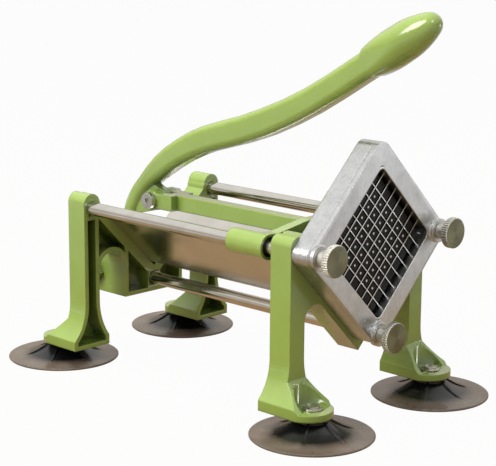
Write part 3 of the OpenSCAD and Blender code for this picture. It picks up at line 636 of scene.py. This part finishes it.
REAR_X, LEG_OUT, RIM_T, WEB_T = -100.0, 74.0, 3.5, 3.9
FOOT_Z, FOOT_TOP_Z, LIP_Z, FOOT_FLOOR_T, TOE_DROP = 14.3, 58.2, 22.0, 5.2, 0.3
FLARE_OUT_RUN, FLARE_OUT_R, FLARE_IN_RUN, FLARE_IN_R = 11.6, 40.3, 9.6, 51.7
SLOPE_RISE, SLOPE_RUN, TOE_BACK, TOE_SPARE, WELL_R = 22.6, 18.0, 3.5, 0.4, 13.0
FLARE_STEPS, TOE_STEPS = 12, 48
FEET_CLEAR_Y = 45.0
LINK_FORK_LEN, LINK_SLOT_X, LINK_HALF_W, LINK_CLEAR = 24.0, 66.0, 5.6, 30
STUD_R, STUD_HOLE_R, WASHER_R, WASHER_T, HEX_R, HEX_T = 4.0, 4.1, 7.0, 0.8, 5.5, 1.6
FOOT_IN_Y, FOOT_OUT_Y = LEG_IN - FLARE_IN_RUN, LEG_OUT + FLARE_OUT_RUN
FOOT_W = FOOT_OUT_Y - FOOT_IN_Y
FOOT_MID_Y = (FOOT_IN_Y + FOOT_OUT_Y) / 2


def flare(leg_y, sign, run, radius, inset):
    """Points of one flare from the lip up to the leg; sign is 1 outwards and -1 inwards."""
    rise = math.sqrt(run * (2 * radius - run))
    reach = radius + inset
    first = math.acos((radius - run + inset) / reach)
    return [(leg_y + sign * (radius - reach * math.cos(first * (1 - k / FLARE_STEPS))),
             LIP_Z + rise - reach * math.sin(first * (1 - k / FLARE_STEPS)))
            for k in range(FLARE_STEPS + 1)]


def foot_front(inset, above=0):
    """Outline of a foot from the front; inset shrinks it for the hollow."""
    outer = flare(LEG_OUT, 1, FLARE_OUT_RUN, FLARE_OUT_R, inset)
    inner = flare(LEG_IN, -1, FLARE_IN_RUN, FLARE_IN_R, inset)
    return [(FOOT_IN_Y + inset, FOOT_Z + inset), (FOOT_OUT_Y - inset, FOOT_Z + inset), *outer,
            (LEG_OUT - inset, FOOT_TOP_Z + above), (LEG_IN + inset, FOOT_TOP_Z + above),
            *reversed(inner)]


def build_foot(well_x):
    """One foot: x from the casting's inner face, y away from the centre plane."""
    reach = well_x + FOOT_W / 2 - TOE_BACK
    floor_z = FOOT_Z + FOOT_FLOOR_T - TOE_DROP
    side = [(0, FOOT_Z), (reach + 1, FOOT_Z), (reach + 1, floor_z), (CAST_D + SLOPE_RUN, floor_z),
            (CAST_D, FOOT_Z + SLOPE_RISE), (CAST_D, FOOT_TOP_Z), (0, FOOT_TOP_Z)]
    end_r = FOOT_W / 2 + TOE_SPARE
    end_x = reach - end_r
    toe = [(end_x + end_r * math.sin(math.pi * k / TOE_STEPS),
            FOOT_MID_Y - end_r * math.cos(math.pi * k / TOE_STEPS)) for k in range(TOE_STEPS + 1)]
    plan = [(-1, FOOT_MID_Y - end_r), *toe, (-1, FOOT_MID_Y + end_r)]
    foot = prism("foot", foot_front(0), 0, reach + 1, "x")
    carve(foot, "INTERSECT", prism("foot_side", side, FOOT_IN_Y - 1, FOOT_OUT_Y + 1, "y"),
          prism("foot_plan", plan, FOOT_Z - 1, FOOT_TOP_Z + 1, "z"))
    well = [(x + well_x, y + CUP_Y) for x, y in circle((0, 0), WELL_R)]
    hole = [(x + well_x, y + CUP_Y) for x, y in circle((0, 0), STUD_HOLE_R)]
    carve(foot, "DIFFERENCE",
          prism("well", well, FOOT_Z + FOOT_FLOOR_T, FOOT_TOP_Z + 1, "z"),
          prism("hole", hole, FOOT_Z - 1, FOOT_TOP_Z, "z"),
          prism("hollow", foot_front(RIM_T, 1), -1, CAST_D - WEB_T, "x"))
    return foot


def set_feet(casting, face_x, ahead):
    """Cuts the casting's own feet off and joins the shaped ones on."""
    span = (face_x - ahead * CUT_BEHIND, face_x + ahead * CUT_FEET_X)
    for side in (-1, 1):
        old = [(side * FEET_CLEAR_Y, 0), (side * CUT_SIDE_Y, 0),
               (side * CUT_SIDE_Y, FOOT_TOP_Z), (side * FEET_CLEAR_Y, FOOT_TOP_Z)]
        carve(casting, "DIFFERENCE", prism("old_foot", old, min(span), max(span), "x"))
        foot = build_foot(CUP_X - abs(face_x))
        for vertex in foot.data.vertices:
            vertex.co.x = face_x * MM + ahead * vertex.co.x
            vertex.co.y *= side
        face_outwards(foot)
        carve(casting, "UNION", foot)


def trim_bosses(casting, face_x, ahead):
    """Makes the rod bosses flush with the outer sides of the legs."""
    span = (face_x - ahead * CUT_BEHIND, face_x + ahead * CUT_BOSS_X)
    for side in (-1, 1):
        proud = [(side * LEG_OUT, BOSS_LOW_Z), (side * CUT_SIDE_Y, BOSS_LOW_Z),
                 (side * CUT_SIDE_Y, BOSS_HIGH_Z), (side * LEG_OUT, BOSS_HIGH_Z)]
        carve(casting, "DIFFERENCE", prism("proud", proud, min(span), max(span), "x"))


def build_link():
    """The link with its bar slimmed between the fork and the slotted end."""
    link = copy_of("link", "link_dressed")
    for side in (-1, 1):
        slab = [(PIN.x + LINK_FORK_LEN, side * LINK_HALF_W), (LINK_SLOT_X, side * LINK_HALF_W),
                (LINK_SLOT_X, side * LINK_CLEAR), (PIN.x + LINK_FORK_LEN, side * LINK_CLEAR)]
        carve(link, "DIFFERENCE",
              prism("slab", slab, PIN.y - LINK_CLEAR, PIN.y + LINK_CLEAR, "z"))
    dress(link, ["green_paint"], "link", ["link"], CAST_SMOOTH)


def build_stud(node, x, y):
    seat = FOOT_Z + FOOT_FLOOR_T
    stud = loft(node + "_dressed", [[(x + a, y + b, z) for a, b in circle((0, 0), r, 48)]
                for r, z in ((STUD_R, CUP_BORE_Z), (STUD_R, seat), (WASHER_R, seat),
                             (WASHER_R, seat + WASHER_T), (AXIS_R, seat + WASHER_T))])
    nut = [(x + HEX_R * math.cos(math.pi * k / 3), y + HEX_R * math.sin(math.pi * k / 3))
           for k in range(6)]
    carve(stud, "UNION",
          prism("hex", nut, seat + WASHER_T / 2, seat + WASHER_T + HEX_T, "z"))
    dress(stud, ["zinc_steel"], "base", [node], STUD_SMOOTH)


def build_rear_casting():
    casting = copy_of("rear_casting", "rear_casting_dressed")
    set_feet(casting, REAR_X, -1)
    trim_bosses(casting, REAR_X, -1)
    dress(casting, ["green_paint"], "base", ["rear_casting"], CAST_SMOOTH)


def build_front_casting():
    casting = copy_of("front_casting", "front_casting_dressed")
    boss_side = LEG_IN - BOSS_INSET
    low_z = LEG_TOP_Z + RING_GAP
    behind = [(-RING_SPAN, low_z), (-boss_side, low_z), (-boss_side, ROD_Z), (boss_side, ROD_Z),
              (boss_side, low_z), (RING_SPAN, low_z), (RING_SPAN, RING_TOP_Z),
              (-RING_SPAN, RING_TOP_Z)]
    cutter = prism("behind_ring", behind, FRONT_X - CUT_SPARE, FRONT_X + CAST_D - RING_T, "x")
    carve(casting, "DIFFERENCE", cutter)
    shoulder_y = RING_HALF_DIAGONAL - (LEG_TOP_Z + CUT_SPARE - FRAME_Z)
    outside = [(-RING_SPAN, LEG_TOP_Z + CUT_SPARE), (-shoulder_y, LEG_TOP_Z + CUT_SPARE),
               (0, FRAME_Z + RING_HALF_DIAGONAL), (shoulder_y, LEG_TOP_Z + CUT_SPARE),
               (RING_SPAN, LEG_TOP_Z + CUT_SPARE), (RING_SPAN, RING_TOP_Z),
               (-RING_SPAN, RING_TOP_Z)]
    carve(casting, "DIFFERENCE",
          prism("outside_ring", outside, FRONT_X - CUT_SPARE, FRONT_X + CAST_D + CUT_SPARE, "x"))
    set_feet(casting, FRONT_X, 1)
    trim_bosses(casting, FRONT_X, 1)
    dress(casting, ["green_paint"], "base", ["front_casting"], CAST_SMOOTH)


# The face frame with a deep lip round its opening, and the strips set back behind it

OPENING_HALF, OPENING_R, LIP_T, LIP_DEPTH, FACE_T = 40.9, 6.0, 1.0, 5.8, 4.0
LIP_SINK, LIP_ROOT, STRIP_REACH, STRIP_GAP = 0.05, 0.5, 15, 0.1


def diamond(half, radius, steps=8):
    """A square with rounded corners, standing on its corner at the frame's middle."""
    out = []
    for q in range(4):
        for k in range(steps + 1):
            a = math.pi / 2 * (q + k / steps)
            u = (half - radius) * (1 if q in (0, 3) else -1) + radius * math.cos(a)
            v = (half - radius) * (1 if q < 2 else -1) + radius * math.sin(a)
            out.append(((u - v) / math.sqrt(2), FRAME_Z + (u + v) / math.sqrt(2)))
    return out


def build_face():
    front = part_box("face_frame")[0][0] / MM + FACE_T
    face = copy_of("face_frame", "face_frame_dressed")
    carve(face, "UNION",
          prism("lip", diamond(OPENING_HALF - LIP_SINK, OPENING_R), front - LIP_DEPTH,
                front - FACE_T, "x"),
          prism("lip_root", diamond(OPENING_HALF + LIP_ROOT, OPENING_R), front - FACE_T,
                front, "x"))
    carve(face, "DIFFERENCE",
          prism("opening", diamond(OPENING_HALF - LIP_T, OPENING_R - LIP_T),
                front - LIP_DEPTH - CUT_SPARE, front + CUT_SPARE, "x"))
    dress(face, ["cast_alloy"], "base", ["face_frame"], CAST_SMOOTH)
    for node in ("blades_rising", "blades_falling"):
        strips = copy_of(node, node + "_dressed")
        carve(strips, "DIFFERENCE",
              prism("set_back", diamond(OPENING_HALF + STRIP_REACH, OPENING_R),
                    front - LIP_DEPTH - STRIP_GAP, front + CUT_SPARE, "x"))
        dress(strips, ["blade_steel"], "base", [node], CAST_SMOOTH)


# Thumb nuts: a turned neck and a knurled head with a blind bore for the stud

NUT_NECK_R, NUT_HEAD_R, NUT_HEAD_T = 6.0, 11.5, 5.4
NUT_BORE_R, NUT_CHAMFER, NUT_KNURLS, NUT_KNURL_DEPTH = 4.2, 0.6, 40, 0.6
NUT_POINTS = 240
NUT_NECK_EDGE, NUT_FILLET = 0.4, 0.8


def build_nut(node, body, y, z):
    low, high = ((corner / MM)[0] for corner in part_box(node))
    head = high - NUT_HEAD_T
    bore_end = head + NUT_CHAMFER
    profile = [(bore_end, AXIS_R, 0), (bore_end, NUT_BORE_R, 0), (low, NUT_BORE_R, 0),
               (low, NUT_NECK_R - NUT_NECK_EDGE, 0), (low + NUT_NECK_EDGE, NUT_NECK_R, 0),
               (head - NUT_FILLET, NUT_NECK_R, 0), (head, NUT_NECK_R + NUT_FILLET, 0),
               (head, NUT_HEAD_R - NUT_CHAMFER, 0), (head + NUT_CHAMFER, NUT_HEAD_R, 1),
               (high - NUT_CHAMFER, NUT_HEAD_R, 1), (high, NUT_HEAD_R - NUT_CHAMFER, 0),
               (high, NUT_HEAD_R / 2, 0), (high, AXIS_R, 0)]
    rings = []
    for x, radius, knurled in profile:
        ring = []
        for k in range(NUT_POINTS):
            a = 2 * math.pi * k / NUT_POINTS
            groove = max(0, math.cos(a * NUT_KNURLS)) * NUT_KNURL_DEPTH * knurled
            ring.append((x, y + (radius - groove) * math.cos(a),
                         z + (radius - groove) * math.sin(a)))
        rings.append(ring)
    nut = loft(node + "_dressed", rings)
    dress(nut, ["nut_metal"], body, [node], NUT_SMOOTH)


# Pins of the pusher: white cores in black collars that fill the holes of the pegs

PIN_R, PIN_CORE_R, PIN_CORE_OUT, PIN_COUNT, PITCH = 2.0, 0.9, 0.12, 6, 9.525
PIN_POINTS = 20


def build_pins():
    rear, front = ((corner / MM)[0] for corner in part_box("pusher_pins"))
    points, faces, core = [], [], []
    steps = [(rear, PIN_R), (front, PIN_R), (front, PIN_CORE_R),
             (front + PIN_CORE_OUT, PIN_CORE_R)]
    for i in range(PIN_COUNT):
        for j in range(PIN_COUNT):
            u, v = ((k - (PIN_COUNT - 1) / 2) * PITCH for k in (i, j))
            cy, cz = (u - v) / math.sqrt(2), FRAME_Z + (u + v) / math.sqrt(2)
            base = len(points)
            for x, radius in steps:
                points += [(x, a, b) for a, b in circle((cy, cz), radius, PIN_POINTS)]
            n = PIN_POINTS
            last = len(steps) - 1
            for s in range(last):
                for k in range(n):
                    after = (k + 1) % n
                    faces.append((base + s * n + k, base + s * n + after,
                                  base + (s + 1) * n + after, base + (s + 1) * n + k))
                    core.append(s == last - 1)
            faces.append(tuple(base + k for k in reversed(range(n))))
            core.append(False)
            faces.append(tuple(base + last * n + k for k in range(n)))
            core.append(True)
    pins = mesh_object("pusher_pins_dressed", points, faces)
    dress(pins, ["white_plastic", "black_plastic"], "carriage", ["pusher_pins"])
    for face, is_core in zip(pins.data.polygons, core):
        face.material_index = 0 if is_core else 1
    face_outwards(pins)


build_lever()
build_front_casting()
build_rear_casting()
build_link()
build_face()
for node_name, body_name, nut_y, nut_z in (("thumb_nut_near", "nut_near", -ROD_Y, ROD_Z),
                                           ("thumb_nut_far", "nut_far", ROD_Y, ROD_Z),
                                           ("thumb_nut_low", "nut_low", 0, TIE_Z)):
    build_nut(node_name, body_name, nut_y, nut_z)
build_pins()
for end_name, end_sign in (("rear", -1), ("front", 1)):
    for side_name, side_sign in (("near", -1), ("far", 1)):
        build_cup(f"cup_{end_name}_{side_name}", end_sign * CUP_X, side_sign * CUP_Y)
        build_stud(f"stud_{end_name}_{side_name}", end_sign * CUP_X, side_sign * CUP_Y)


# Floor, world and lamps

FLOOR_HALF = 6.0
FLOOR_SEEN_SHARE = 0.97
FLOOR_MATTE = (*srgb(150, 132, 108), 1)
# Colour that glossy surfaces see in the table, by distance from the part in metres
FLOOR_MIRRORED = [(0.0, srgb(176, 146, 108)), (0.3, srgb(186, 160, 126)),
                  (0.5, srgb(190, 186, 180)), (0.9, srgb(224, 224, 225))]


def add_floor():
    mesh = bpy.data.meshes.new("floor")
    r = FLOOR_HALF
    mesh.from_pydata([(-r, -r, 0), (r, -r, 0), (r, r, 0), (-r, r, 0)], [], [(0, 1, 2, 3)])
    floor = bpy.data.objects.new("floor", mesh)
    scene.collection.objects.link(floor)
    m = Mat("floor")
    path = m.node("ShaderNodeLightPath")
    matte = m.node("ShaderNodeBsdfDiffuse")
    matte.inputs["Color"].default_value = FLOOR_MATTE
    white = m.node("ShaderNodeEmission")
    away = m.node("ShaderNodeVectorMath", operation="LENGTH")
    m.link(m.coord, away.inputs[0])
    mirrored = m.node("ShaderNodeEmission")
    m.link(m.ramp(away.outputs["Value"], FLOOR_MIRRORED), mirrored.inputs["Color"])
    seen = m.node("ShaderNodeMixShader")
    m.link(m.math("MULTIPLY", path.outputs["Is Camera Ray"], FLOOR_SEEN_SHARE), seen.inputs[0])
    m.link(matte.outputs[0], seen.inputs[1])
    m.link(white.outputs[0], seen.inputs[2])
    both = m.node("ShaderNodeMixShader")
    m.link(path.outputs["Is Glossy Ray"], both.inputs[0])
    m.link(seen.outputs[0], both.inputs[1])
    m.link(mirrored.outputs[0], both.inputs[2])
    m.link(both.outputs[0], m.out.inputs["Surface"])
    m.tree.nodes.remove(m.bsdf)
    mesh.materials.append(m.mat)


# The room as glossy surfaces see it, from the horizon up
ROOM_MIRRORED = [(0.5, srgb(176, 160, 142)), (0.62, srgb(214, 206, 196)),
                 (0.75, srgb(250, 249, 246))]
ROOM_DIFFUSE = 0.42


def add_world():
    world = bpy.data.worlds.new("world")
    scene.world = world
    world.use_nodes = True
    tree = world.node_tree
    tree.nodes.clear()
    out = tree.nodes.new("ShaderNodeOutputWorld")
    path = tree.nodes.new("ShaderNodeLightPath")
    room = tree.nodes.new("ShaderNodeBackground")
    room.inputs["Color"].default_value = (0.98, 0.98, 1.0, 1)
    room.inputs["Strength"].default_value = ROOM_DIFFUSE
    white = tree.nodes.new("ShaderNodeBackground")
    mirrored = tree.nodes.new("ShaderNodeBackground")
    split = tree.nodes.new("ShaderNodeSeparateXYZ")
    tree.links.new(tree.nodes.new("ShaderNodeTexCoord").outputs["Generated"], split.inputs[0])
    height = tree.nodes.new("ShaderNodeMapRange")
    height.inputs["From Min"].default_value = -1
    tree.links.new(split.outputs["Z"], height.inputs["Value"])
    ramp = tree.nodes.new("ShaderNodeValToRGB")
    ramp.color_ramp.elements.new(0.5)
    for point, (at, colour) in zip(ramp.color_ramp.elements, ROOM_MIRRORED):
        point.position = at
        point.color = (*colour, 1)
    tree.links.new(height.outputs[0], ramp.inputs[0])
    tree.links.new(ramp.outputs[0], mirrored.inputs["Color"])
    glossy = tree.nodes.new("ShaderNodeMixShader")
    tree.links.new(path.outputs["Is Glossy Ray"], glossy.inputs[0])
    tree.links.new(room.outputs[0], glossy.inputs[1])
    tree.links.new(mirrored.outputs[0], glossy.inputs[2])
    mix = tree.nodes.new("ShaderNodeMixShader")
    tree.links.new(path.outputs["Is Camera Ray"], mix.inputs[0])
    tree.links.new(glossy.outputs[0], mix.inputs[1])
    tree.links.new(white.outputs[0], mix.inputs[2])
    tree.links.new(mix.outputs[0], out.inputs["Surface"])


def add_lamp(name, place, aim, size, power):
    data = bpy.data.lights.new(name, "AREA")
    data.shape = "RECTANGLE"
    data.size, data.size_y = size
    data.energy = power
    lamp = bpy.data.objects.new(name, data)
    lamp.location = place
    lamp.rotation_euler = (Vector(aim) - Vector(place)).to_track_quat("-Z", "Y").to_euler()
    scene.collection.objects.link(lamp)
    return lamp


PART_MIDDLE = (0, 0, 0.12)
add_floor()
add_world()
add_lamp("key", (-0.5, -1.6, 1.2), PART_MIDDLE, (1.0, 1.0), 26)
add_lamp("top", (-0.2, -0.3, 1.9), PART_MIDDLE, (1.2, 1.2), 30).visible_glossy = False
add_lamp("front", (1.6, -0.7, 1.5), PART_MIDDLE, (0.5, 0.5), 4)
add_lamp("side", (1.2, 1.25, 0.25), PART_MIDDLE, (0.2, 0.2), 1.5)
